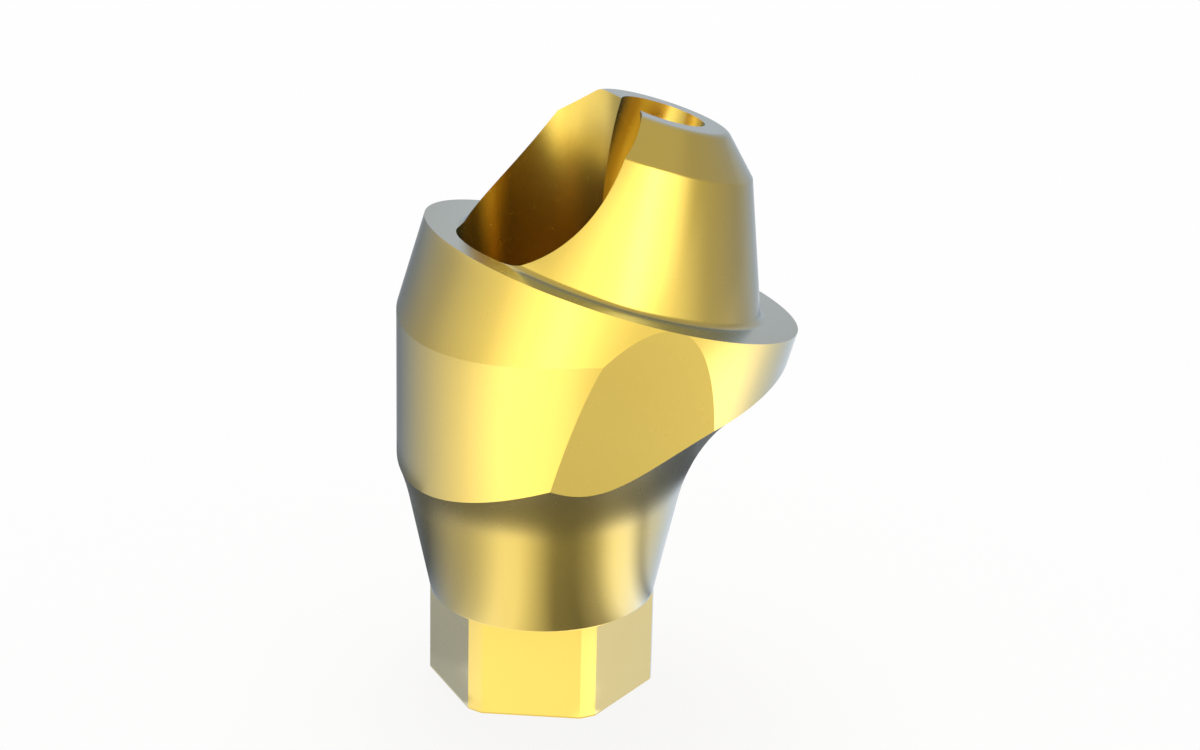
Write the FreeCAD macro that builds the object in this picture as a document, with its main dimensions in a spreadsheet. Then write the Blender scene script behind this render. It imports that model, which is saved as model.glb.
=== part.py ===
import FreeCAD, Part
import math
import os

import Sketcher

# An angled dental abutment, turned and milled from one bar of titanium.
# Z is the implant axis, the origin is the centre of the hexagon's end face,
# and the platform leans towards +X. The left half mirrors the right one in Y.

os.makedirs("parts", exist_ok=True)
doc = FreeCAD.newDocument("dental_abutment")

# Driving dimensions: lengths in millimetres, angles in degrees
DIMENSIONS = [
    ("hex_across_flats", 2.54, "indexing hexagon, flat to flat"),
    ("hex_corner_reach", 0.14, "turned corners of the hexagon, beyond the flats"),
    ("hex_length", 1.24, "hexagon, end face to cone"),
    ("connection_half_angle", 12.0, "connection cone, side to axis"),
    ("connection_top", 2.5, "end face to the height where the flare starts"),
    ("flare_radius", 2.86, "hollow arc from the cone out to the collar"),
    ("flare_reach", 3.6, "distance from the implant axis where the arc may end"),
    ("platform_offset", 0.876, "implant axis to the platform's centre"),
    ("platform_height", 5.321, "end face to the platform's centre"),
    ("platform_angle", 18.13, "lean of the platform's axis"),
    ("platform_diameter", 4.8, "seat of the restoration"),
    ("cone_base_diameter", 3.834, "prosthetic cone at the platform"),
    ("cone_half_angle", 21.24, "prosthetic cone, side to axis"),
    ("shoulder_height", 1.608, "platform to the shoulder of the cone"),
    ("tip_half_angle", 45.0, "tip of the cone, side to axis"),
    ("post_height", 2.064, "platform to the flat top"),
    ("base_fillet", 0.1, "hollow between platform and cone"),
    ("shoulder_round", 0.4, "rounding of the shoulder"),
    ("top_round", 0.15, "rounding of the top edge"),
    ("stem_centre", 0.9, "implant axis to the middle of the stem's ellipse"),
    ("stem_clearance", 0.02, "stem's ellipse beyond the bar's side, across the lean"),
    ("stem_stretch", 0.28, "how much longer its half is along the lean than across"),
    ("flat_turn", 7.2, "turn of the side flats about the platform's axis"),
    ("flat_lean", 9.7, "lean of the side flats, wider at the top"),
    ("flat_bite", 0.003, "depth of the side flats at the platform's rim"),
    ("channel_diameter", 2.21, "way for the head of the abutment screw"),
    ("screw_hole_diameter", 1.7, "way for the thread of the abutment screw"),
    ("seat_height", 2.6, "end face to the upper edge of the screw seat"),
    ("seat_half_angle", 45.0, "screw seat, side to axis"),
    ("bore_diameter", 1.06, "core of the prosthetic screw's thread"),
    ("bore_depth", 3.3, "prosthetic bore, from the flat top"),
    ("cutter_reach", 8.0, "how far the cutting outlines run past the part"),
]

sheet = doc.addObject("Spreadsheet::Sheet", "sizes")
for row, (alias, size, meaning) in enumerate(DIMENSIONS, start=1):
    sheet.set("A%d" % row, meaning)
    sheet.set("B%d" % row, str(size))
    sheet.setAlias("B%d" % row, alias)
doc.recompute()

# Sizes that follow from the driving ones
RIM_RADIUS = "sizes.platform_diameter / 2"
CONE_RADIUS = "sizes.cone_base_diameter / 2"
SHOULDER_RADIUS = CONE_RADIUS + " - sizes.shoulder_height * tan(sizes.cone_half_angle)"
TOP_RADIUS = (
    SHOULDER_RADIUS
    + " - (sizes.post_height - sizes.shoulder_height) * tan(sizes.tip_half_angle)"
)
STEM_WIDTH = "sizes.platform_diameter + 2 * sizes.stem_clearance"
STEM_LENGTH = STEM_WIDTH + " + 2 * sizes.stem_stretch"
STUB_RADIUS = "(sizes.hex_across_flats / 2 + sizes.hex_corner_reach)"
FLARE_START_RADIUS = (
    STUB_RADIUS
    + " + (sizes.connection_top - sizes.hex_length) * tan(sizes.connection_half_angle)"
)
CHANNEL_RADIUS = "sizes.channel_diameter / 2"
SCREW_HOLE_RADIUS = "sizes.screw_hole_diameter / 2"
SEAT_FOOT = (
    "sizes.seat_height"
    " - (sizes.channel_diameter - sizes.screw_hole_diameter) / 2 / tan(sizes.seat_half_angle)"
)
BORE_FOOT = "sizes.post_height - sizes.bore_depth"
HEX_CORNER_RADIUS = "sizes.hex_across_flats / 2 / cos(30)"
BAR_LENGTH = "(sizes.platform_height + sizes.platform_diameter / 2) / cos(sizes.platform_angle)"
ABOVE_ALL = "sizes.platform_height + sizes.cutter_reach"

# The platform's frame, with its axis upright and its centre at the sketch's origin
PLATFORM_FRAME = (
    "placement(vector(sizes.platform_offset; sizes.platform_height; 0);"
    " rotation(vector(0; 0; 1); -sizes.platform_angle))"
)

# A side flat's frame, turned and leaned about the platform's centre, then moved out to the rim
FLAT_FRAME = (
    PLATFORM_FRAME
    + " * placement(vector(0; 0; 0); rotation(0; -sizes.flat_turn; sizes.flat_lean))"
    + " * placement(vector(0; 0; sizes.platform_diameter / 2 * cos(sizes.flat_lean)"
    + " - sizes.flat_bite); rotation(0; 0; 0))"
)

# How a sketch names its own origin, its axes and the points of an edge.
# Every outline is drawn roughly first and then set by its rules and dimensions.
ORIGIN = (-1, 1)
LEVEL_AXIS, UPRIGHT_AXIS = range(-1, -3, -1)
START, END, CENTRE = range(1, 4)
QUARTER_TURN = math.pi / 2

# Two places nearer than this are the same, in millimetres
TOUCHING = 1e-6

body = doc.addObject("PartDesign::Body", "abutment_body")
body.Label = "abutment_body"
origin_planes = {item.Role: item for item in body.Origin.OriginFeatures}


def new_sketch(name, plane_role, frame=None):
    """A sketch on one of the body's own planes, moved to a frame of its own."""
    sketch = body.newObject("Sketcher::SketchObject", name)
    sketch.AttachmentSupport = [(origin_planes[plane_role], "")]
    sketch.MapMode = "FlatFace"
    if frame:
        sketch.setExpression("AttachmentOffset", frame)
    return sketch


def rule(sketch, kind, *places):
    """A constraint between the given places of a sketch."""
    return sketch.addConstraint(Sketcher.Constraint(kind, *places))


def drawn_size(sketch, kind, places):
    """The size that a dimension has in the rough drawing."""
    if kind == "Radius":
        return sketch.Geometry[places[0]].Radius
    if kind == "Distance":
        return sketch.Geometry[places[0]].length()
    way = sketch.getPoint(places[2], places[3]) - sketch.getPoint(places[0], places[1])
    return way.x if kind == "DistanceX" else way.y


def measure(sketch, kind, name, expression, *places):
    """A named dimension that follows a formula on the sheet's sizes."""
    index = rule(sketch, kind, *places, drawn_size(sketch, kind, places))
    sketch.renameConstraint(index, name)
    sketch.setExpression("Constraints." + name, expression)


def outline(sketch, points):
    """Straight edges drawn roughly from point to point, joined end to start."""
    corners = [FreeCAD.Vector(across, up, 0) for across, up in points]
    edges = [
        sketch.addGeometry(Part.LineSegment(first, second))
        for first, second in zip(corners, corners[1:])
    ]
    for before, after in zip(edges, edges[1:]):
        rule(sketch, "Coincident", before, END, after, START)
    return edges


def closed_outline(sketch, points):
    """Straight edges drawn roughly from point to point and back to the first."""
    edges = outline(sketch, points + points[:1])
    rule(sketch, "Coincident", edges[-1], END, edges[0], START)
    return edges


def finish(feature):
    """Builds the feature and makes it the body's tip."""
    body.Tip = feature
    doc.recompute()
    return feature


def finish_cut(feature):
    """Builds a cut and stops if it takes nothing away."""
    volume_before = body.Shape.Volume
    finish(feature)
    removed = volume_before - body.Shape.Volume
    if removed <= 0:
        raise ValueError(feature.Name + " cuts nothing")
    print("%s takes away %.3f mm3" % (feature.Name, removed))
    return feature


def turned(name, sketch):
    """Material turned about the sketch's upright axis."""
    feature = body.newObject("PartDesign::Revolution", name)
    feature.Profile = sketch
    feature.ReferenceAxis = (sketch, ["V_Axis"])
    return finish(feature)


def turned_away(name, sketch):
    """A groove turned about the sketch's upright axis."""
    feature = body.newObject("PartDesign::Groove", name)
    feature.Profile = sketch
    feature.ReferenceAxis = (sketch, ["V_Axis"])
    return finish_cut(feature)


def milled_away(name, sketch, depth):
    """A pocket cut along the sketch's normal."""
    feature = body.newObject("PartDesign::Pocket", name)
    feature.Profile = sketch
    feature.Reversed = True
    feature.setExpression("Length", depth)
    return finish_cut(feature)


def rounded(name, edge, end, rounding):
    """Rounds the ring that a corner of the platform outline was turned to."""
    base = body.Tip
    corner = platform_sketch.getPoint(edge, end)
    centre = platform_sketch.Placement.multVec(FreeCAD.Vector(0, corner.y, 0))
    rings = [
        "Edge%d" % number
        for number, ring in enumerate(base.Shape.Edges, start=1)
        if isinstance(ring.Curve, Part.Circle)
        and abs(ring.Curve.Radius - corner.x) < TOUCHING
        and ring.Curve.Center.distanceToPoint(centre) < TOUCHING
    ]
    feature = body.newObject("PartDesign::Fillet", name)
    feature.Base = (base, rings)
    feature.setExpression("Radius", rounding)
    return finish(feature)


# Bar and prosthetic cone, turned about the platform's leaning axis
platform_sketch = new_sketch("platform_outline", "XZ_Plane", PLATFORM_FRAME)
foot, bar_side, annulus, cone_side, tip_side, flat_top, axis = closed_outline(
    platform_sketch,
    [(0, -8), (2.4, -8), (2.4, 0), (1.9, 0), (1.3, 1.6), (0.8, 2.1), (0, 2.1)],
)
for level in (foot, annulus, flat_top):
    rule(platform_sketch, "Horizontal", level)
rule(platform_sketch, "Vertical", bar_side)
rule(platform_sketch, "PointOnObject", foot, START, UPRIGHT_AXIS)
rule(platform_sketch, "PointOnObject", axis, START, UPRIGHT_AXIS)
rule(platform_sketch, "PointOnObject", annulus, START, LEVEL_AXIS)
measure(platform_sketch, "DistanceY", "bar_length", BAR_LENGTH, foot, START, *ORIGIN)
measure(platform_sketch, "DistanceX", "rim", RIM_RADIUS, *ORIGIN, annulus, START)
measure(platform_sketch, "DistanceX", "cone", CONE_RADIUS, *ORIGIN, annulus, END)
measure(platform_sketch, "DistanceX", "shoulder", SHOULDER_RADIUS, *ORIGIN, tip_side, START)
measure(
    platform_sketch, "DistanceY", "shoulder_height", "sizes.shoulder_height", *ORIGIN, tip_side, START
)
measure(platform_sketch, "DistanceX", "top", TOP_RADIUS, *ORIGIN, tip_side, END)
measure(platform_sketch, "DistanceY", "post_height", "sizes.post_height", *ORIGIN, tip_side, END)
turned("leaning_bar_and_cone", platform_sketch)

# Way of the abutment screw along the implant axis: hole, cone seat and open channel.
# The channel is wider than what the leaning cone covers, so it leaves the cone open at the back.
channel_sketch = new_sketch("screw_channel_outline", "YZ_Plane")
hole_end, hole_side, seat, channel_side, channel_end, implant_axis = closed_outline(
    channel_sketch, [(0, -8), (0.8, -8), (0.8, 2.3), (1.1, 2.6), (1.1, 13), (0, 13)]
)
for level in (hole_end, channel_end):
    rule(channel_sketch, "Horizontal", level)
for upright in (hole_side, channel_side):
    rule(channel_sketch, "Vertical", upright)
rule(channel_sketch, "PointOnObject", hole_end, START, UPRIGHT_AXIS)
rule(channel_sketch, "PointOnObject", implant_axis, START, UPRIGHT_AXIS)
measure(channel_sketch, "DistanceY", "reach_down", "sizes.cutter_reach", hole_end, START, *ORIGIN)
measure(channel_sketch, "DistanceX", "screw_hole", SCREW_HOLE_RADIUS, *ORIGIN, seat, START)
measure(channel_sketch, "DistanceY", "seat_foot", SEAT_FOOT, *ORIGIN, seat, START)
measure(channel_sketch, "DistanceX", "channel", CHANNEL_RADIUS, *ORIGIN, seat, END)
measure(channel_sketch, "DistanceY", "seat_height", "sizes.seat_height", *ORIGIN, seat, END)
measure(channel_sketch, "DistanceY", "reach_up", ABOVE_ALL, *ORIGIN, channel_side, END)
turned_away("screw_channel", channel_sketch)

# Everything outside the connection and its flare is turned away about the implant axis.
# The flare's arc leaves the cone without a kink and cuts the leaning bar in a wavy edge.
connection_sketch = new_sketch("connection_outline", "YZ_Plane")
end_face, stub_side, connection_cone = outline(
    connection_sketch, [(0, 0), (1.4, 0), (1.4, 1.2), (1.7, 2.5)]
)
flare = connection_sketch.addGeometry(
    Part.Arc(FreeCAD.Vector(3.6, 4.6, 0), FreeCAD.Vector(2.4, 3.9, 0), FreeCAD.Vector(1.7, 2.5, 0))
)
ceiling, outer_side, floor, inner_side = outline(
    connection_sketch, [(3.6, 4.6), (8, 4.6), (8, -8), (0, -8), (0, 0)]
)
rule(connection_sketch, "Coincident", end_face, START, *ORIGIN)
rule(connection_sketch, "Coincident", inner_side, END, *ORIGIN)
rule(connection_sketch, "Tangent", connection_cone, END, flare, END)
rule(connection_sketch, "Coincident", flare, START, ceiling, START)
for level in (end_face, ceiling, floor):
    rule(connection_sketch, "Horizontal", level)
for upright in (stub_side, outer_side, inner_side):
    rule(connection_sketch, "Vertical", upright)
measure(connection_sketch, "DistanceX", "stub", STUB_RADIUS, *ORIGIN, end_face, END)
measure(connection_sketch, "DistanceY", "hex_length", "sizes.hex_length", *ORIGIN, stub_side, END)
measure(
    connection_sketch, "DistanceX", "flare_start", FLARE_START_RADIUS, *ORIGIN, connection_cone, END
)
measure(
    connection_sketch, "DistanceY", "cone_top", "sizes.connection_top", *ORIGIN, connection_cone, END
)
measure(connection_sketch, "Radius", "flare_radius", "sizes.flare_radius", flare)
measure(connection_sketch, "DistanceX", "flare_reach", "sizes.flare_reach", *ORIGIN, flare, START)
measure(connection_sketch, "DistanceX", "reach_out", "sizes.cutter_reach", *ORIGIN, ceiling, END)
measure(connection_sketch, "DistanceY", "reach_down", "sizes.cutter_reach", floor, END, *ORIGIN)
turned_away("connection_and_flare", connection_sketch)

# The hexagon, milled from the round stub, keeps the stub's turned corners
hex_sketch = new_sketch("hexagon_outline", "XY_Plane")
upwards = FreeCAD.Vector(0, 0, 1)
corner_circle = hex_sketch.addGeometry(Part.Circle(FreeCAD.Vector(), upwards, 1.5), True)
hex_sides = closed_outline(
    hex_sketch, [(1.3, 0.7), (0, 1.5), (-1.3, 0.7), (-1.3, -0.7), (0, -1.5), (1.3, -0.7)]
)
around_stub = hex_sketch.addGeometry(Part.Circle(FreeCAD.Vector(), upwards, 3))
for ring in (corner_circle, around_stub):
    rule(hex_sketch, "Coincident", ring, CENTRE, *ORIGIN)
for side in hex_sides:
    rule(hex_sketch, "PointOnObject", side, START, corner_circle)
for side in hex_sides[1:]:
    rule(hex_sketch, "Equal", hex_sides[0], side)
rule(hex_sketch, "Vertical", hex_sides[-1])
measure(hex_sketch, "Radius", "hex_corners", HEX_CORNER_RADIUS, corner_circle)
measure(hex_sketch, "Radius", "around_stub", "2 * " + STUB_RADIUS, around_stub)
milled_away("indexing_hexagon", hex_sketch, "sizes.hex_length")

# One side flat, and its mirror image on the other side
flat_sketch = new_sketch("side_flat_outline", "XZ_Plane", FLAT_FRAME)
low_side, far_side, high_side, near_side = closed_outline(
    flat_sketch, [(-8, -8), (8, -8), (8, 8), (-8, 8)]
)
for level in (low_side, high_side):
    rule(flat_sketch, "Horizontal", level)
for upright in (far_side, near_side):
    rule(flat_sketch, "Vertical", upright)
rule(flat_sketch, "Symmetric", low_side, START, far_side, END, *ORIGIN)
measure(flat_sketch, "DistanceX", "flat_width", "2 * sizes.cutter_reach", low_side, START, low_side, END)
measure(flat_sketch, "DistanceY", "flat_height", "2 * sizes.cutter_reach", far_side, START, far_side, END)
side_flat = milled_away("side_flat", flat_sketch, "sizes.platform_diameter")
opposite_flat = body.newObject("PartDesign::Mirrored", "opposite_flat")
opposite_flat.Originals = [side_flat]
opposite_flat.MirrorPlane = (origin_planes["XZ_Plane"], [""])
finish_cut(opposite_flat)

# The stem's back is milled upright to half an ellipse, which meets the leaning bar in an edge
stem_sketch = new_sketch("stem_outline", "XY_Plane")
stem_ellipse = Part.Ellipse(
    FreeCAD.Vector(3.6, 0, 0), FreeCAD.Vector(0.9, 2.4, 0), FreeCAD.Vector(0.9, 0, 0)
)
back = stem_sketch.addGeometry(Part.ArcOfEllipse(stem_ellipse, QUARTER_TURN, 3 * QUARTER_TURN))
stem_sketch.exposeInternalGeometry(back)
long_axis = back + 1
short_axis = back + 2
front_right, right, behind, left, front_left = outline(
    stem_sketch, [(0.9, -2.4), (0.9, -8), (-8, -8), (-8, 8), (0.9, 8), (0.9, 2.4)]
)
rule(stem_sketch, "PointOnObject", back, CENTRE, LEVEL_AXIS)
rule(stem_sketch, "Horizontal", long_axis)
rule(stem_sketch, "Coincident", back, END, front_right, START)
rule(stem_sketch, "Coincident", front_left, END, back, START)
rule(stem_sketch, "Vertical", back, START, back, CENTRE)
for across in (right, left):
    rule(stem_sketch, "Horizontal", across)
for along in (front_right, behind, front_left):
    rule(stem_sketch, "Vertical", along)
measure(stem_sketch, "DistanceX", "stem_centre", "sizes.stem_centre", *ORIGIN, back, CENTRE)
measure(stem_sketch, "Distance", "stem_length", STEM_LENGTH, long_axis)
measure(stem_sketch, "Distance", "stem_width", STEM_WIDTH, short_axis)
measure(stem_sketch, "DistanceY", "reach_right", "sizes.cutter_reach", right, START, *ORIGIN)
measure(stem_sketch, "DistanceY", "reach_left", "sizes.cutter_reach", *ORIGIN, left, END)
measure(stem_sketch, "DistanceX", "reach_back", "sizes.cutter_reach", behind, START, *ORIGIN)
milled_away("stem_back", stem_sketch, ABOVE_ALL)

# The cone's three ring edges, where the channel has left them standing
rounded("cone_foot_hollow", annulus, END, "sizes.base_fillet")
rounded("cone_shoulder_round", tip_side, START, "sizes.shoulder_round")
rounded("cone_top_round", tip_side, END, "sizes.top_round")

# Bore for the prosthetic screw on the leaning axis. It opens into the channel along its side.
bore_sketch = new_sketch("prosthetic_bore_outline", "XZ_Plane", PLATFORM_FRAME)
bore_end, bore_side, bore_mouth, bore_axis = closed_outline(
    bore_sketch, [(0, -1.2), (0.5, -1.2), (0.5, 8), (0, 8)]
)
for level in (bore_end, bore_mouth):
    rule(bore_sketch, "Horizontal", level)
rule(bore_sketch, "Vertical", bore_side)
rule(bore_sketch, "PointOnObject", bore_end, START, UPRIGHT_AXIS)
rule(bore_sketch, "PointOnObject", bore_axis, START, UPRIGHT_AXIS)
measure(bore_sketch, "DistanceX", "bore", "sizes.bore_diameter / 2", *ORIGIN, bore_side, START)
measure(bore_sketch, "DistanceY", "bore_foot", BORE_FOOT, *ORIGIN, bore_end, START)
measure(bore_sketch, "DistanceY", "reach_up", "sizes.cutter_reach", *ORIGIN, bore_side, END)
turned_away("prosthetic_bore", bore_sketch)

# Nothing is written before every object and the finished solid are sound
for item in doc.Objects:
    if "Invalid" in item.State or "Error" in item.State:
        raise ValueError(item.Name + " failed: " + ", ".join(item.State))
for sketch in [item for item in doc.Objects if item.isDerivedFrom("Sketcher::SketchObject")]:
    if sketch.solve() != 0:
        raise ValueError(sketch.Name + " can't be solved")
if body.Shape.isNull() or not body.Shape.isValid() or len(body.Shape.Solids) != 1:
    raise ValueError(body.Label + " is not one sound solid")

box = body.Shape.BoundBox
print("size %.3f x %.3f x %.3f mm" % (box.XLength, box.YLength, box.ZLength))
print("volume %.3f mm3, centre of mass %s" % (body.Shape.Volume, body.Shape.Solids[0].CenterOfMass))
body.Shape.exportStep("parts/" + body.Label + ".step")
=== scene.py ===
# %% [markdown]
# # A dental abutment, turned, milled and anodised gold
#
# An abutment is the small metal post between an implant in the jaw and the crown above it.
# This one leans: the cone that carries the crown stands 18 degrees off the implant's axis.
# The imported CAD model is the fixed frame, so every piece goes where the CAD says.

# %% Load the frame
import math

import bmesh
import bpy
import numpy as np
from mathutils import Matrix, Vector


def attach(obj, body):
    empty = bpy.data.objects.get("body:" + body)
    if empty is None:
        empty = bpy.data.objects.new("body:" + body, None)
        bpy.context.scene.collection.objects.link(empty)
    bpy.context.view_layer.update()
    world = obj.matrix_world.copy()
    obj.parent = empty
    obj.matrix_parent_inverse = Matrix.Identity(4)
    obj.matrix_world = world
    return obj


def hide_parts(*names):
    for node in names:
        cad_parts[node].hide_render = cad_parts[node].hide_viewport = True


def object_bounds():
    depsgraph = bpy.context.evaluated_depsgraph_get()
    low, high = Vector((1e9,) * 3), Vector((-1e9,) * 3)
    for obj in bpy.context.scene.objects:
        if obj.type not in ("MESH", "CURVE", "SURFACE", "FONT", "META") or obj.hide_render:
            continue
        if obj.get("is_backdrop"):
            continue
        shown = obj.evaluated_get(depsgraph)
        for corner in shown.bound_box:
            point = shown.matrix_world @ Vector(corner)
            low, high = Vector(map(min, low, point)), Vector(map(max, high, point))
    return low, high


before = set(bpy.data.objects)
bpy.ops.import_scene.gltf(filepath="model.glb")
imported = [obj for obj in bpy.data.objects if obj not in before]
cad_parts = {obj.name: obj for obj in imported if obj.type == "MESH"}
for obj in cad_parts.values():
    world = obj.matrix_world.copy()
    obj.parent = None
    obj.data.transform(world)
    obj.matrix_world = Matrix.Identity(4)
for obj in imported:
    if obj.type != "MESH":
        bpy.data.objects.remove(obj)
cad_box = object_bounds()
print("CAD box in mm:", [[round(v * 1000, 3) for v in corner] for corner in cad_box])

# %% [markdown]
# ## Plan the piece
#
# The CAD node has the right shape, but its facets are about ten degrees wide. A satin wall
# would hide that. A polished wall mirrors its surroundings, and there every facet shows as a
# kink. The visible piece is therefore turned again on finer steps, from the same sizes but
# for one rounding. Drawing in millimetres keeps the numbers readable. One scale to metres
# comes at the end.

# %% Sizes of the part, in millimetres and degrees
MM = 0.001
PLATFORM_CENTRE = (0.876, 0.0, 5.321)
PLATFORM_LEAN = 18.13
BAR_RADIUS = 2.4
CONE_BASE_RADIUS = 1.917
CONE_ANGLE = 21.24
SHOULDER_HEIGHT = 1.608
TIP_ANGLE = 45.0
POST_HEIGHT = 2.064
FOOT_HOLLOW = 0.1
SHOULDER_ROUND = 0.08  # crisper than in the CAD part, as in the photograph
TOP_ROUND = 0.15

STUB_RADIUS = 1.41
HEX_ACROSS_FLATS = 2.54
HEX_LENGTH = 1.24
CONNECTION_ANGLE = 12.0
CONNECTION_TOP = 2.5
FLARE_RADIUS = 2.86
FLARE_REACH = 3.6

STEM_CENTRE = 0.9
STEM_HALF_LENGTH = 2.7
STEM_HALF_WIDTH = 2.42
FLAT_TURN = 7.2
FLAT_LEAN = 9.7
FLAT_BITE = 0.003

CHANNEL_RADIUS = 1.105
SCREW_HOLE_RADIUS = 0.85
SEAT_HEIGHT = 2.6
BORE_RADIUS = 0.53
BORE_DEPTH = 3.3
CLEAR = 8.0  # how far a cutter runs past the metal
PAST = 1.0  # and how far past an end face

TURNS = 256  # steps of a full turn, 1.4 degrees each

# %% [markdown]
# ## Two axes
#
# Everything below the platform is turned about the implant's axis, which is Z. The bar, the
# crown's cone and its screw bore are turned about a second axis, through the platform's
# centre and leaning toward +X. One matrix holds that axis, and it is used for all three.

# %% Frames of the two axes
UPRIGHT = Matrix.Identity(4)
LEANING = Matrix.Translation(PLATFORM_CENTRE) @ Matrix.Rotation(math.radians(PLATFORM_LEAN), 4, "Y")
print("leaning axis:", [round(v, 4) for v in LEANING.to_3x3() @ Vector((0, 0, 1))])

# %% [markdown]
# ## A small lathe
#
# A turned part is an outline and an axis. The outline is a chain of points, each with its
# radius and height. A point that names a centre is reached along an arc, and the arc is a
# spin of the chain's last vertex. A full spin of the chain then makes the solid.
# A bevel would round the corners too, but its curve is only exactly circular at 90 degrees.
# Each line and arc is also noted as a turned surface, because the shading needs them later.

# %% Lathe
turned_surfaces = []


def angle_about(centre, point):
    return math.atan2(point[1] - centre[1], point[0] - centre[0])


def draw_outline(outline, axis, arc_step=1.5):
    bm = bmesh.new()
    last = bm.verts.new((outline[0][0], 0, outline[0][1]))
    before = outline[0]
    for point in outline[1:]:
        if len(point) == 2:
            corner = bm.verts.new((point[0], 0, point[1]))
            bm.edges.new((last, corner))
            last = corner
            turned_surfaces.append((axis, "line", before[:2], point[:2]))
        else:
            centre = point[2:]
            sweep = angle_about(centre, point) - angle_about(centre, before)
            sweep = math.remainder(sweep, 2 * math.pi)
            steps = max(4, math.ceil(abs(math.degrees(sweep)) / arc_step))
            spun = bmesh.ops.spin(
                bm, geom=[last], cent=(centre[0], 0, centre[1]), axis=(0, -1, 0),
                angle=sweep, steps=steps,
            )
            last = next(v for v in spun["geom_last"] if isinstance(v, bmesh.types.BMVert))
            turned_surfaces.append((axis, "arc", centre, math.dist(centre, point[:2])))
        before = point
    return bm


def to_object(name, bm, place=UPRIGHT):
    bmesh.ops.transform(bm, matrix=place, verts=bm.verts)
    bmesh.ops.remove_doubles(bm, verts=bm.verts, dist=1e-6)
    bmesh.ops.recalc_face_normals(bm, faces=bm.faces)
    mesh = bpy.data.meshes.new(name)
    bm.to_mesh(mesh)
    bm.free()
    piece = bpy.data.objects.new(name, mesh)
    bpy.context.scene.collection.objects.link(piece)
    return piece


def turn(name, outline, axis):
    bm = draw_outline(outline, axis)
    bmesh.ops.spin(
        bm, geom=bm.verts[:] + bm.edges[:], cent=(0, 0, 0), axis=(0, 0, 1),
        angle=2 * math.pi, steps=TURNS, use_merge=True,
    )
    piece = to_object(name, bm, axis)
    print(name, "has", len(piece.data.polygons), "faces")
    return piece


def rounding(corner, before, after, radius):
    """The two outline points that round a corner between walls facing before and after."""
    normals = [Vector((math.cos(math.radians(a)), math.sin(math.radians(a)))) for a in (before, after)]
    reach = (normals[0] + normals[1]) / (1 + normals[0].dot(normals[1]))
    centre = Vector(corner) - radius * reach
    start, end = (centre + radius * n for n in normals)
    return tuple(start), (*end, *centre)


# %% [markdown]
# ## The blank: a leaning bar with the crown's cone
#
# The outline goes up the bar's side and in over the platform. It then climbs the cone to its
# shoulder and the chamfered tip. The cone's foot is hollow: there the tool's nose
# left a tenth of a millimetre. A negative radius turns the rounding outside in.

# %% Blank
tip_radius = CONE_BASE_RADIUS - SHOULDER_HEIGHT * math.tan(math.radians(CONE_ANGLE))
flat_radius = tip_radius - (POST_HEIGHT - SHOULDER_HEIGHT) * math.tan(math.radians(TIP_ANGLE))
blank = turn(
    "blank",
    [
        (0, -CLEAR),
        (BAR_RADIUS, -CLEAR),
        (BAR_RADIUS, 0),
        *rounding((CONE_BASE_RADIUS, 0), 90, CONE_ANGLE, -FOOT_HOLLOW),
        *rounding((tip_radius, SHOULDER_HEIGHT), CONE_ANGLE, TIP_ANGLE, SHOULDER_ROUND),
        *rounding((flat_radius, POST_HEIGHT), TIP_ANGLE, 90, TOP_ROUND),
        (0, POST_HEIGHT),
    ],
    LEANING,
)

# %% [markdown]
# ## What the implant's end leaves standing
#
# Below the platform the metal is cut back to a stub, a 12 degree sealing cone and a hollow
# flare that runs out under the platform. It is easiest to turn what is cut away: one ring
# with that outline on its inside, closed under the end face.

# %% Connection cutter
cone_top_radius = STUB_RADIUS + (CONNECTION_TOP - HEX_LENGTH) * math.tan(math.radians(CONNECTION_ANGLE))
flare_centre = (
    cone_top_radius + FLARE_RADIUS * math.cos(math.radians(CONNECTION_ANGLE)),
    CONNECTION_TOP - FLARE_RADIUS * math.sin(math.radians(CONNECTION_ANGLE)),
)
flare_top = flare_centre[1] + math.sqrt(FLARE_RADIUS**2 - (flare_centre[0] - FLARE_REACH) ** 2)
connection = turn(
    "connection",
    [
        (0, 0),
        (STUB_RADIUS, 0),
        (STUB_RADIUS, HEX_LENGTH),
        (cone_top_radius, CONNECTION_TOP),
        (FLARE_REACH, flare_top, *flare_centre),
        (CLEAR, flare_top),
        (CLEAR, -CLEAR),
        (0, -CLEAR),
    ],
    UPRIGHT,
)

# %% [markdown]
# ## The way in for the screw
#
# A screw holds the abutment in the implant. Its head passes down a wide channel and sits on
# a 45 degree seat, and its shank goes through the hole below. The channel is upright while
# the cone leans, so it breaks out through the cone's side. The short bore in the tip is for
# the crown's own screw.

# %% Channel and bore cutters
channel = turn(
    "channel",
    [
        (0, -PAST),
        (SCREW_HOLE_RADIUS, -PAST),
        (SCREW_HOLE_RADIUS, SEAT_HEIGHT - (CHANNEL_RADIUS - SCREW_HOLE_RADIUS)),
        (CHANNEL_RADIUS, SEAT_HEIGHT),
        (CHANNEL_RADIUS, CLEAR + PAST),
        (0, CLEAR + PAST),
    ],
    UPRIGHT,
)
bore = turn(
    "bore",
    [
        (0, POST_HEIGHT - BORE_DEPTH),
        (BORE_RADIUS, POST_HEIGHT - BORE_DEPTH),
        (BORE_RADIUS, POST_HEIGHT + PAST),
        (0, POST_HEIGHT + PAST),
    ],
    LEANING,
)

# %% [markdown]
# ## Milled faces
#
# The hexagon keys the abutment in the implant. Its cutter is two six-sided rings bridged
# and pulled up. The stem's back is half an ellipse, cut the same way from two rings of many
# sides, of which only the half behind the ellipse's centre stays. Each side flat is one face of
# a large block, turned and leaned about the platform's centre and moved out to the rim.

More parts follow.
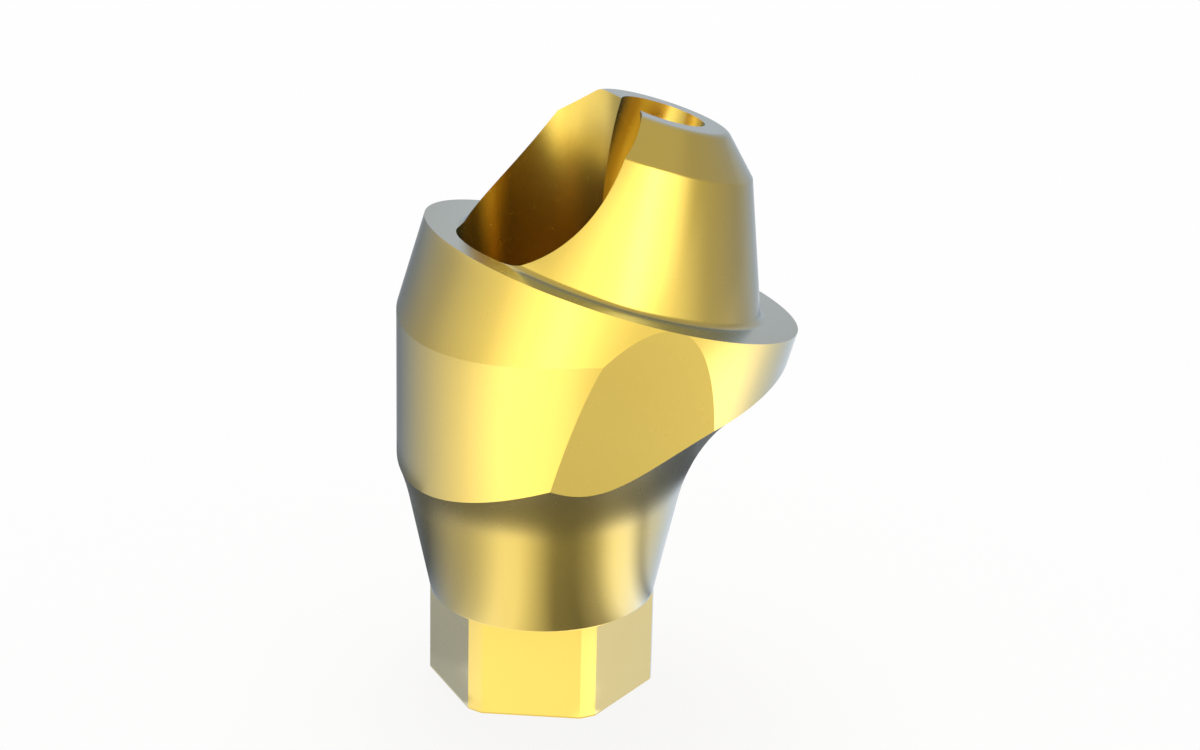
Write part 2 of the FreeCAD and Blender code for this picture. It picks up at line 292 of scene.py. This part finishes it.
# %% Ring cutter and flats
def ring_cutter(name, inner, sides, low, high, middle=0.0, keep_behind=False):
    bm = bmesh.new()
    for size in (inner, (CLEAR, CLEAR)):
        bmesh.ops.create_circle(
            bm, cap_ends=False, radius=1.0, segments=sides,
            matrix=Matrix.Translation((middle, 0, low)) @ Matrix.Diagonal((*size, 1, 1)),
        )
    ring = bmesh.ops.bridge_loops(bm, edges=bm.edges[:])["faces"]
    if keep_behind:
        bmesh.ops.bisect_plane(
            bm, geom=bm.verts[:] + bm.edges[:] + bm.faces[:], plane_co=(middle, 0, 0),
            plane_no=(1, 0, 0), clear_outer=True,
        )
        ring = bm.faces[:]
    top = bmesh.ops.extrude_face_region(bm, geom=ring, use_keep_orig=True)["geom"]
    bmesh.ops.translate(
        bm, vec=(0, 0, high - low), verts=[v for v in top if isinstance(v, bmesh.types.BMVert)]
    )
    return to_object(name, bm)


def side_flat(name, mirror):
    reach = BAR_RADIUS * math.cos(math.radians(FLAT_LEAN)) - FLAT_BITE + CLEAR
    turned = Matrix.Rotation(math.radians(-FLAT_TURN), 4, "Z")
    leaned = Matrix.Rotation(math.radians(FLAT_LEAN), 4, "X")
    moved = Matrix.Translation((0, -reach, 0))
    bm = bmesh.new()
    bmesh.ops.create_cube(bm, size=2 * CLEAR)
    return to_object(name, bm, Matrix.Diagonal((1, mirror, 1, 1)) @ LEANING @ turned @ leaned @ moved)


hex_corner = HEX_ACROSS_FLATS / 2 / math.cos(math.radians(30))
hexagon = ring_cutter("hexagon", (hex_corner, hex_corner), 6, -PAST, HEX_LENGTH)
stem = ring_cutter(
    "stem", (STEM_HALF_LENGTH, STEM_HALF_WIDTH), TURNS, -PAST, CLEAR, STEM_CENTRE, True
)
flats = [side_flat("flat_right", 1), side_flat("flat_left", -1)]
print("hexagon corners reach", round(hex_corner, 3), "mm, turned back to", STUB_RADIUS)

# %% [markdown]
# ## Cut the piece
#
# A Boolean modifier per cutter takes the metal away in the order of the workshop. The exact
# solver keeps the thin edges where the channel leaves the cone. The result is read from the
# dependency graph as one plain mesh, and blank and cutters have done their work.

# %% Boolean cuts
MERGE = 1e-5  # mm, corners closer than this are one
cutters = [connection, hexagon, stem, *flats, channel, bore]
for cutter in cutters:
    cut = blank.modifiers.new(cutter.name, "BOOLEAN")
    cut.operation = "DIFFERENCE"
    cut.solver = "EXACT"
    cut.object = cutter
depsgraph = bpy.context.evaluated_depsgraph_get()
finished = bpy.data.meshes.new_from_object(blank.evaluated_get(depsgraph))
for used in [blank, *cutters]:
    bpy.data.objects.remove(used)

bm = bmesh.new()
bm.from_mesh(finished)
bmesh.ops.remove_doubles(bm, verts=bm.verts, dist=MERGE)
bmesh.ops.dissolve_degenerate(bm, edges=bm.edges, dist=MERGE)
volume = bm.calc_volume()
open_edges = sum(not e.is_manifold for e in bm.edges)
bm.to_mesh(finished)
bm.free()
print("volume", round(volume, 3), "mm3, open edges", open_edges, "faces", len(finished.polygons))

# %% [markdown]
# ## Shade it as what it is
#
# Smooth shading averages the faces round each corner, and beside a cut it averages thin
# slivers. On polished metal that shows as a ripple along the edge. Every wall here is known
# exactly, so each face looks up the turned wall it lies on, and its corners take
# that wall's own direction. Faces on no turned wall are milled flat and keep their normal.

# %% Directions of the walls
PAST_CENTRE = 0.01  # mm, so that corners right at the ellipse's centre count as behind it


def wall_directions(points, surface):
    """Distance from a turned wall and its direction, for each point in millimetres."""
    axis, kind, first, second = surface
    local = (points - np.array(axis.translation)) @ np.array(axis.to_3x3())
    radius = np.hypot(local[:, 0], local[:, 1])
    if kind == "line":
        along = np.subtract(second, first) / math.dist(first, second)
        across = (along[1], -along[0])
        distance = (radius - first[0]) * across[0] + (local[:, 2] - first[1]) * across[1]
        outward = np.full_like(radius, across[0])
        upward = np.full_like(radius, across[1])
    else:
        outward, upward = radius - first[0], local[:, 2] - first[1]
        reach = np.hypot(outward, upward)
        distance, outward, upward = reach - second, outward / reach, upward / reach
    spoke = local[:, :2] / np.maximum(radius, 1e-9)[:, None]
    direction = np.column_stack((spoke * outward[:, None], upward))
    return distance, direction @ np.array(axis.to_3x3()).T


def stem_directions(points):
    """The same for the stem's back, which is an upright half ellipse."""
    x, y = (points[:, 0] - STEM_CENTRE) / STEM_HALF_LENGTH, points[:, 1] / STEM_HALF_WIDTH
    size = np.hypot(x, y)
    direction = np.column_stack((x / STEM_HALF_LENGTH, y / STEM_HALF_WIDTH, np.zeros_like(x)))
    direction /= np.maximum(np.linalg.norm(direction, axis=1), 1e-9)[:, None]
    distance = np.where(points[:, 0] < STEM_CENTRE + PAST_CENTRE, (size - 1) * STEM_HALF_WIDTH, 1)
    return distance, direction


# %% [markdown]
# A face belongs to the wall that all its corners lie on, if the face also looks the wall's
# way. The best fit wins where two walls meet.

# %% Exact normals
ON_WALL = 0.003  # mm, the farthest that a corner may lie from its wall
SAME_WAY = 0.99  # cosine between the face's own direction and the wall's
loops = len(finished.loops)
corner_vertex = np.empty(loops, dtype=np.int64)
finished.loops.foreach_get("vertex_index", corner_vertex)
places = np.empty(len(finished.vertices) * 3)
finished.vertices.foreach_get("co", places)
corners = places.reshape(-1, 3)[corner_vertex]
first_corner = np.empty(len(finished.polygons), dtype=np.int64)
finished.polygons.foreach_get("loop_start", first_corner)
face_normal = np.empty(len(finished.polygons) * 3)
finished.polygons.foreach_get("normal", face_normal)
face_of_corner = np.repeat(
    np.arange(len(first_corner)), np.diff(np.append(first_corner, loops))
)
normals = face_normal.reshape(-1, 3)[face_of_corner]
flat_normals = normals.copy()
best = np.full(len(first_corner), ON_WALL)
for surface in [*turned_surfaces, None]:
    distance, direction = wall_directions(corners, surface) if surface else stem_directions(corners)
    agreement = np.einsum("ij,ij->i", direction, flat_normals)
    misfit = np.where(np.abs(agreement) > SAME_WAY, np.abs(distance), 1)
    face_misfit = np.maximum.reduceat(misfit, first_corner)
    lies_on = face_misfit < best
    best[lies_on] = face_misfit[lies_on]
    chosen = lies_on[face_of_corner]
    normals[chosen] = (direction * np.sign(agreement)[:, None])[chosen]
print("faces on known walls:", int((best < ON_WALL).sum()), "of", len(best))

finished.transform(Matrix.Scale(MM, 4))
finished.polygons.foreach_set("use_smooth", [True] * len(finished.polygons))
finished.normals_split_custom_set([tuple(n) for n in normals])
abutment = bpy.data.objects.new("anodised_abutment", finished)
bpy.context.scene.collection.objects.link(abutment)
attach(abutment, "root")
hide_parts("abutment_body")

# %% [markdown]
# ## Gold-anodised titanium
#
# Anodising grows a clear oxide on titanium, and the gold is an interference colour of that
# film. Seen head on, it swallows blue. The more it is seen at a slant, the longer the light's
# way through the film, and the gold fades to a cool grey. One metal can't do that, because a
# metal keeps its colour almost to its edge. So a gold metal and a pale one share the surface,
# and Layer Weight hands it from one to the other with the slant. Both lie under one clear
# coat, the oxide's own surface.
#
# The part was turned, milled and lightly etched before it was anodised. That leaves a soft
# gloss, with a film that is not quite even. Two noise patterns make both.

# %% Material helpers
def linear(hex_colour):
    """An sRGB hex value as the linear colour that a shader works in."""
    values = [int(hex_colour[i : i + 2], 16) / 255 for i in (0, 2, 4)]
    return (*[v / 12.92 if v <= 0.04045 else ((v + 0.055) / 1.055) ** 2.4 for v in values], 1)


def add_node(tree, kind, settings=None, values=None, links=None):
    """Adds a node, sets its properties and socket values, and links its inputs to outputs."""
    node = tree.nodes.new(kind)
    for name, value in (settings or {}).items():
        setattr(node, name, value)
    for name, value in (values or {}).items():
        node.inputs[name].default_value = value
    for name, output in (links or {}).items():
        tree.links.new(output, node.inputs[name])
    return node


def new_material(name):
    material = bpy.data.materials.new(name)
    material.use_nodes = True
    material.node_tree.nodes.clear()
    return material


# %% Film and etched grain
FILM_PATCH = 1.6  # mm, how far apart the film's thicker and thinner places lie
THIN_FILM, THICK_FILM = "F1CE4E", "EDC942"
ETCH_GRAIN = 0.12  # mm, an etched grain is finer, and is drawn as coarse as it can show
ROUGHNESS = (0.26, 0.28)  # an etched and anodised surface: soft gloss, no mirror
titanium = new_material("gold_anodised_titanium")
tree = titanium.node_tree
place = add_node(tree, "ShaderNodeTexCoord").outputs["Object"]
film = add_node(
    tree, "ShaderNodeTexNoise", values={"Scale": 1 / (FILM_PATCH * MM), "Detail": 1.0},
    links={"Vector": place},
)
gold = add_node(tree, "ShaderNodeMix", {"data_type": "RGBA"}, links={"Factor": film.outputs["Fac"]})
gold.inputs["A"].default_value = linear(THIN_FILM)
gold.inputs["B"].default_value = linear(THICK_FILM)
etch = add_node(
    tree, "ShaderNodeTexNoise", values={"Scale": 1 / (ETCH_GRAIN * MM), "Detail": 3.0},
    links={"Vector": place},
)
gloss = add_node(
    tree, "ShaderNodeMapRange", values={"To Min": ROUGHNESS[0], "To Max": ROUGHNESS[1]},
    links={"Value": etch.outputs["Fac"]},
)
print("film patches", FILM_PATCH, "mm, etched grain", ETCH_GRAIN, "mm")

# %% [markdown]
# Layer Weight's Facing is 0 where the metal is seen head on and 1 at its outline. Its power
# sets how late the gold gives way. The edge tint colours the very outline, where the film
# sends back a trace of blue.

# %% Two metals under one coat
PALE_METAL = "CDD1B6"
EDGE_TINT = "B0CCF8"
FADE = 1.6  # 1 fades in step with the slant, and more fades nearer the outline
oxide = {
    "Metallic": 1.0,
    "Specular Tint": linear(EDGE_TINT),
    "Coat Weight": 1.0,
    "Coat Roughness": 0.2,
    "Coat IOR": 1.6,
}
head_on = add_node(
    tree, "ShaderNodeBsdfPrincipled", values=oxide,
    links={"Base Color": gold.outputs["Result"], "Roughness": gloss.outputs["Result"]},
)
at_a_slant = add_node(
    tree, "ShaderNodeBsdfPrincipled", values={**oxide, "Base Color": linear(PALE_METAL)},
    links={"Roughness": gloss.outputs["Result"]},
)
slant = add_node(tree, "ShaderNodeLayerWeight", values={"Blend": 0.5})
faded = add_node(tree, "ShaderNodeMath", {"operation": "POWER"}, links={0: slant.outputs["Facing"]})
faded.inputs[1].default_value = FADE
shader = add_node(tree, "ShaderNodeMixShader", links={"Fac": faded.outputs[0]})
tree.links.new(head_on.outputs[0], shader.inputs[1])
tree.links.new(at_a_slant.outputs[0], shader.inputs[2])
add_node(tree, "ShaderNodeOutputMaterial", links={"Surface": shader.outputs[0]})
abutment.data.materials.clear()
abutment.data.materials.append(titanium)
print("material", titanium.name, "with", len(tree.nodes), "nodes")

# %% [markdown]
# ## The floor
#
# White paper that runs past the frame on every side. Its own colour is nearly white, and
# what the camera and the metal see of it is mostly a plain white of strength 1. The rest is
# lit by the lamp, and that part keeps the shadow under the piece.

# %% Floor
WHITE_SHARE = 0.85
HALF_FLOOR = 1000  # mm
bm = bmesh.new()
bmesh.ops.create_grid(bm, x_segments=1, y_segments=1, size=HALF_FLOOR)
bmesh.ops.scale(bm, vec=(MM, MM, MM), verts=bm.verts)
floor = to_object("floor", bm)
paper = new_material("white_paper")
tree = paper.node_tree
ray = add_node(tree, "ShaderNodeLightPath")
seen = add_node(tree, "ShaderNodeMath", {"operation": "MAXIMUM"})
tree.links.new(ray.outputs["Is Camera Ray"], seen.inputs[0])
tree.links.new(ray.outputs["Is Glossy Ray"], seen.inputs[1])
seen_through = add_node(tree, "ShaderNodeMath", {"operation": "MAXIMUM"})
tree.links.new(seen.outputs[0], seen_through.inputs[0])
tree.links.new(ray.outputs["Is Transmission Ray"], seen_through.inputs[1])
share = add_node(tree, "ShaderNodeMath", {"operation": "MULTIPLY"})
tree.links.new(seen_through.outputs[0], share.inputs[0])
share.inputs[1].default_value = WHITE_SHARE
lit = add_node(tree, "ShaderNodeBsdfDiffuse", values={"Color": linear("F9F9F9")})
white = add_node(tree, "ShaderNodeEmission", values={"Color": (1, 1, 1, 1), "Strength": 1.0})
surface = add_node(tree, "ShaderNodeMixShader", links={"Fac": share.outputs[0]})
tree.links.new(lit.outputs[0], surface.inputs[1])
tree.links.new(white.outputs[0], surface.inputs[2])
add_node(tree, "ShaderNodeOutputMaterial", links={"Surface": surface.outputs[0]})
floor.data.materials.append(paper)
floor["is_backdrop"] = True
print("floor across, in metres:", round(floor.dimensions.x, 3))

# %% [markdown]
# ## Soft light
#
# One large lamp hangs high over the piece and a little behind it, and a plain grey world
# fills the rest. Together they light white paper to just under white. The metal doesn't
# mirror the lamp, because the cards further down are what it is meant to show.

# %% Lamp and world
LAMP_SIZE = 90  # mm
LAMP_DISTANCE = 120  # mm
LAMP_LEVEL = 3.2  # brightness of the lamp's face, whatever its size
WORLD_LEVEL = 0.5
lamp = bpy.data.lights.new("overhead", "AREA")
lamp.size = LAMP_SIZE * MM
lamp.energy = LAMP_LEVEL * math.pi * lamp.size**2
toward_lamp = Vector((0.17, 0.30, 0.94))
overhead = bpy.data.objects.new("overhead", lamp)
overhead.location = toward_lamp * LAMP_DISTANCE * MM
overhead.rotation_euler = toward_lamp.to_track_quat("Z", "Y").to_euler()
overhead.visible_camera = False
overhead.visible_glossy = False
bpy.context.scene.collection.objects.link(overhead)

world = bpy.data.worlds.new("studio")
world.use_nodes = True
background = world.node_tree.nodes["Background"]
background.inputs["Color"].default_value = (1, 1, 1, 1)
background.inputs["Strength"].default_value = WORLD_LEVEL
bpy.context.scene.world = world
print("lamp power in watts:", round(lamp.energy, 4))

# %% [markdown]
# ## Graded cards
#
# Metal has no shade of its own: it shows what stands round it. Photographers of jewellery
# and instruments therefore put cards close round the piece, white ones for highlights and
# dark ones for edges, graded so that one runs into the next. Each card here is an edge
# spun round the implant's axis. Its material reads the angle round that axis and looks the
# brightness up in a ramp. A soft inner edge lets what lies beyond show through little by
# little. Only reflections see the cards, so they stay out of the picture, cast no shadow and
# don't change the light on the floor.

# %% Card helper
RAMP_TOP = 3.5  # the brightest that a card can be
CARD_STEPS = 72


def graded_card(name, inner, outer, levels, first=-180, last=180, soft_edge=0):
    """A card from one (radius, height) to another, over the azimuths from first to last.

    Levels are (azimuth, brightness) stops. A soft edge fades in over that many millimetres.
    """
    bm = bmesh.new()
    ends = [bm.verts.new((radius, 0, height)) for radius, height in (inner, outer)]
    bm.edges.new(ends)
    start = Matrix.Rotation(math.radians(first), 4, "Z")
    bmesh.ops.spin(
        bm, geom=bm.verts[:] + bm.edges[:], cent=(0, 0, 0), axis=(0, 0, 1),
        angle=math.radians(last - first), steps=CARD_STEPS,
    )
    bmesh.ops.scale(bm, vec=(MM, MM, MM), verts=bm.verts)
    card = to_object(name, bm, start)

    material = new_material(name)
    tree = material.node_tree
    place = add_node(tree, "ShaderNodeTexCoord").outputs["Object"]
    round_axis = add_node(
        tree, "ShaderNodeTexGradient", {"gradient_type": "RADIAL"}, links={"Vector": place}
    )
    ramp = add_node(tree, "ShaderNodeValToRGB", links={"Fac": round_axis.outputs["Fac"]})
    stops = ramp.color_ramp.elements
    stops.remove(stops[0])
    for number, (azimuth, level) in enumerate(levels):
        stop = stops.new((azimuth + 180) / 360) if number else stops[0]
        stop.position = (azimuth + 180) / 360
        stop.color = (*[level / RAMP_TOP] * 3, 1)
    surface = add_node(
        tree, "ShaderNodeEmission", values={"Strength": RAMP_TOP},
        links={"Color": ramp.outputs["Color"]},
    )
    if soft_edge:
        flat_place = add_node(
            tree, "ShaderNodeVectorMath", {"operation": "MULTIPLY"}, links={0: place}
        )
        flat_place.inputs[1].default_value = (1, 1, 0)
        radius = add_node(
            tree, "ShaderNodeVectorMath", {"operation": "LENGTH"}, links={0: flat_place.outputs[0]}
        )
        fade = add_node(
            tree, "ShaderNodeMapRange", {"interpolation_type": "SMOOTHSTEP"},
            values={"From Min": inner[0] * MM, "From Max": (inner[0] + soft_edge) * MM},
            links={"Value": radius.outputs["Value"]},
        )
        clear = add_node(tree, "ShaderNodeBsdfTransparent")
        mixed = add_node(tree, "ShaderNodeMixShader", links={"Fac": fade.outputs["Result"]})
        tree.links.new(clear.outputs[0], mixed.inputs[1])
        tree.links.new(surface.outputs[0], mixed.inputs[2])
        surface = mixed
    add_node(tree, "ShaderNodeOutputMaterial", links={"Surface": surface.outputs[0]})
    card.data.materials.append(material)
    for kind in ("camera", "diffuse", "shadow", "transmission", "volume_scatter"):
        setattr(card, "visible_" + kind, False)
    card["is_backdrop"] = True
    print(name, "from", inner, "to", outer, "with", len(levels), "levels")


# %% [markdown]
# Azimuth 0 is +X, the side the cone leans to, and the camera stands at -115. Four cards
# stand upright round the piece, one over the other, and serve its upper walls. They are
# brightest on the camera's side and darker to the left and right of the piece, which gives
# its round walls their highlights and dark edges. A fifth, small and close behind the
# platform's rim, lights the open channel.

# %% Upright cards
ROUND = 6.5  # mm from the implant's axis
LOW, WAIST, MIDDLE, HIGH, TOP = 0, 3.2, 4.8, 7.4, 13
BEHIND_RIM = 1.85
graded_card(
    "card_low", (ROUND, LOW), (ROUND, WAIST),
    [(-180, 1.05), (-155, 1.75), (-135, 1.7), (-120, 1.45), (-108, 0.7), (-84, 0.73), (-66, 0.88),
     (-61, 2.4), (-48, 2.2), (-30, 1.5), (-18, 0.95), (-5, 0.8), (60, 1.0), (100, 0.22),
     (150, 0.62), (180, 1.05)],
)
graded_card(
    "card_waist", (ROUND, WAIST), (ROUND, MIDDLE),
    [(-180, 0.5), (-165, 0.8), (-150, 1.9), (-125, 1.8), (-97, 1.0), (-60, 1.05), (-12, 0.42),
     (5, 0.54), (60, 0.8), (100, 0.26), (155, 0.42), (180, 0.5)],
)
graded_card(
    "card_middle", (ROUND, MIDDLE), (ROUND, HIGH),
    [(-180, 0.82), (-168, 0.95), (-155, 1.45), (-142, 1.7), (-129, 2.6), (-117, 1.7), (-90, 0.9),
     (-67, 1.25), (-56, 0.9), (-42, 0.46), (-12, 0.36), (5, 0.52), (60, 0.76), (105, 0.34),
     (150, 0.44), (165, 0.66), (180, 0.82)],
)
graded_card(
    "card_high", (ROUND, HIGH), (ROUND, TOP),
    [(-180, 0.7), (-150, 1.15), (-125, 1.7), (-98, 2.0), (-87, 3.4), (-76, 2.2), (-62, 1.5),
     (-53, 0.46), (-20, 0.4), (10, 0.42), (40, 0.62), (180, 0.7)],
)
graded_card(
    "card_channel", (BEHIND_RIM, 6.12), (BEHIND_RIM, 6.8),
    [(-180, 1.25), (-160, 1.3), (-145, 1.15), (-135, 1.0), (140, 1.0), (180, 1.25)], 140, 225,
)

# %% [markdown]
# The others lie flat, because the lower walls lean out over them. One is under the side flat.
# Two lie round the hexagon, one inside the other, because its walls look at other places near
# the foot than higher up. One lies round the sealing cone.

# %% Flat cards
GROUND = 0.02  # mm, just over the floor
FOOT, FOOT_EDGE = 1.2, 1.65
LEDGE = HEX_LENGTH + 0.002  # just over the end of the hexagon
graded_card("card_under_flat", (5.4, GROUND), (ROUND, GROUND), [(0, 0.68)], -108, -62)
graded_card(
    "card_hexagon_foot", (FOOT, GROUND), (FOOT_EDGE, GROUND),
    [(-180, 0.58), (-161, 0.58), (-156, 1.15), (-140, 1.3), (-100, 1.26), (-92, 1.7), (-84, 1.7),
     (-80, 0.95), (30, 0.9), (105, 0.5), (180, 0.58)],
)
graded_card(
    "card_hexagon", (FOOT_EDGE, GROUND), (4.0, GROUND),
    [(-180, 1.1), (-158, 1.3), (-138, 1.3), (-100, 1.26), (-88, 1.7), (-68, 1.75), (-58, 0.95),
     (30, 0.9), (105, 0.5), (163, 0.5), (180, 1.1)],
)
graded_card(
    "card_sealing_cone", (STUB_RADIUS + 0.01, LEDGE), (3.6, LEDGE),
    [(-180, 0.44), (-168, 0.5), (-155, 0.72), (-142, 1.12), (-130, 1.1), (-108, 0.2), (-94, 0.16),
     (-80, 0.42), (-66, 1.25), (-54, 1.35), (-40, 0.4), (-32, 0.85), (0, 0.95), (100, 0.2),
     (150, 0.12), (166, 0.3), (180, 0.44)],
)

# %% [markdown]
# The hollow flare is the darkest band of the piece, and it sets the body off from the sealing
# cone. A dark collar lies close under it, and reaches further out where the flare does.

# %% Dark collar
UNDER = CONNECTION_TOP - 0.02  # just under the start of the flare
COLLAR, COLLAR_EDGE = 1.8, 2.3
graded_card("card_flare", (COLLAR, UNDER), (COLLAR_EDGE, UNDER), [(0, 0.12)], soft_edge=0.25)
graded_card("card_flare_left", (COLLAR_EDGE, UNDER), (2.6, UNDER), [(0, 0.2)], 80, 170)
graded_card("card_flare_right", (COLLAR_EDGE, UNDER), (3.9, UNDER), [(0, 0.18)], -62, 60)

# %% [markdown]
# ## The camera
#
# A long lens flattens the piece, as in a product picture. It stands about 44 mm away and looks
# 23 degrees down, with the slight roll of the photograph.

# %% Camera
CAMERA_PLACE = (-16.307, -35.316, 20.381)  # mm
CAMERA_TURN = (67.2528, -1.1869, -25.2784)  # degrees
LENS, FILM_WIDTH = 102.89, 36  # mm
camera = bpy.data.objects.new("camera", bpy.data.cameras.new("camera"))
bpy.context.scene.collection.objects.link(camera)
camera.data.sensor_width = FILM_WIDTH
camera.data.lens = LENS
camera.data.clip_start, camera.data.clip_end = 0.001, 10
camera.location = Vector(CAMERA_PLACE) * MM
camera.rotation_euler = [math.radians(v) for v in CAMERA_TURN]
bpy.context.scene.camera = camera
bpy.context.scene.view_settings.view_transform = "Standard"
print("camera", round(camera.location.length / MM, 1), "mm from the foot of the piece")

# %% [markdown]
# ## Sizes of the CAD part and the dressed part
#
# The dressed part has to fill the same box as the CAD part, so both boxes are printed.

# %% Sizes
dressed_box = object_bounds()
for name, box in (("CAD", cad_box), ("dressed", dressed_box)):
    print(name, [[round(v * 1000, 3) for v in corner] for corner in box])
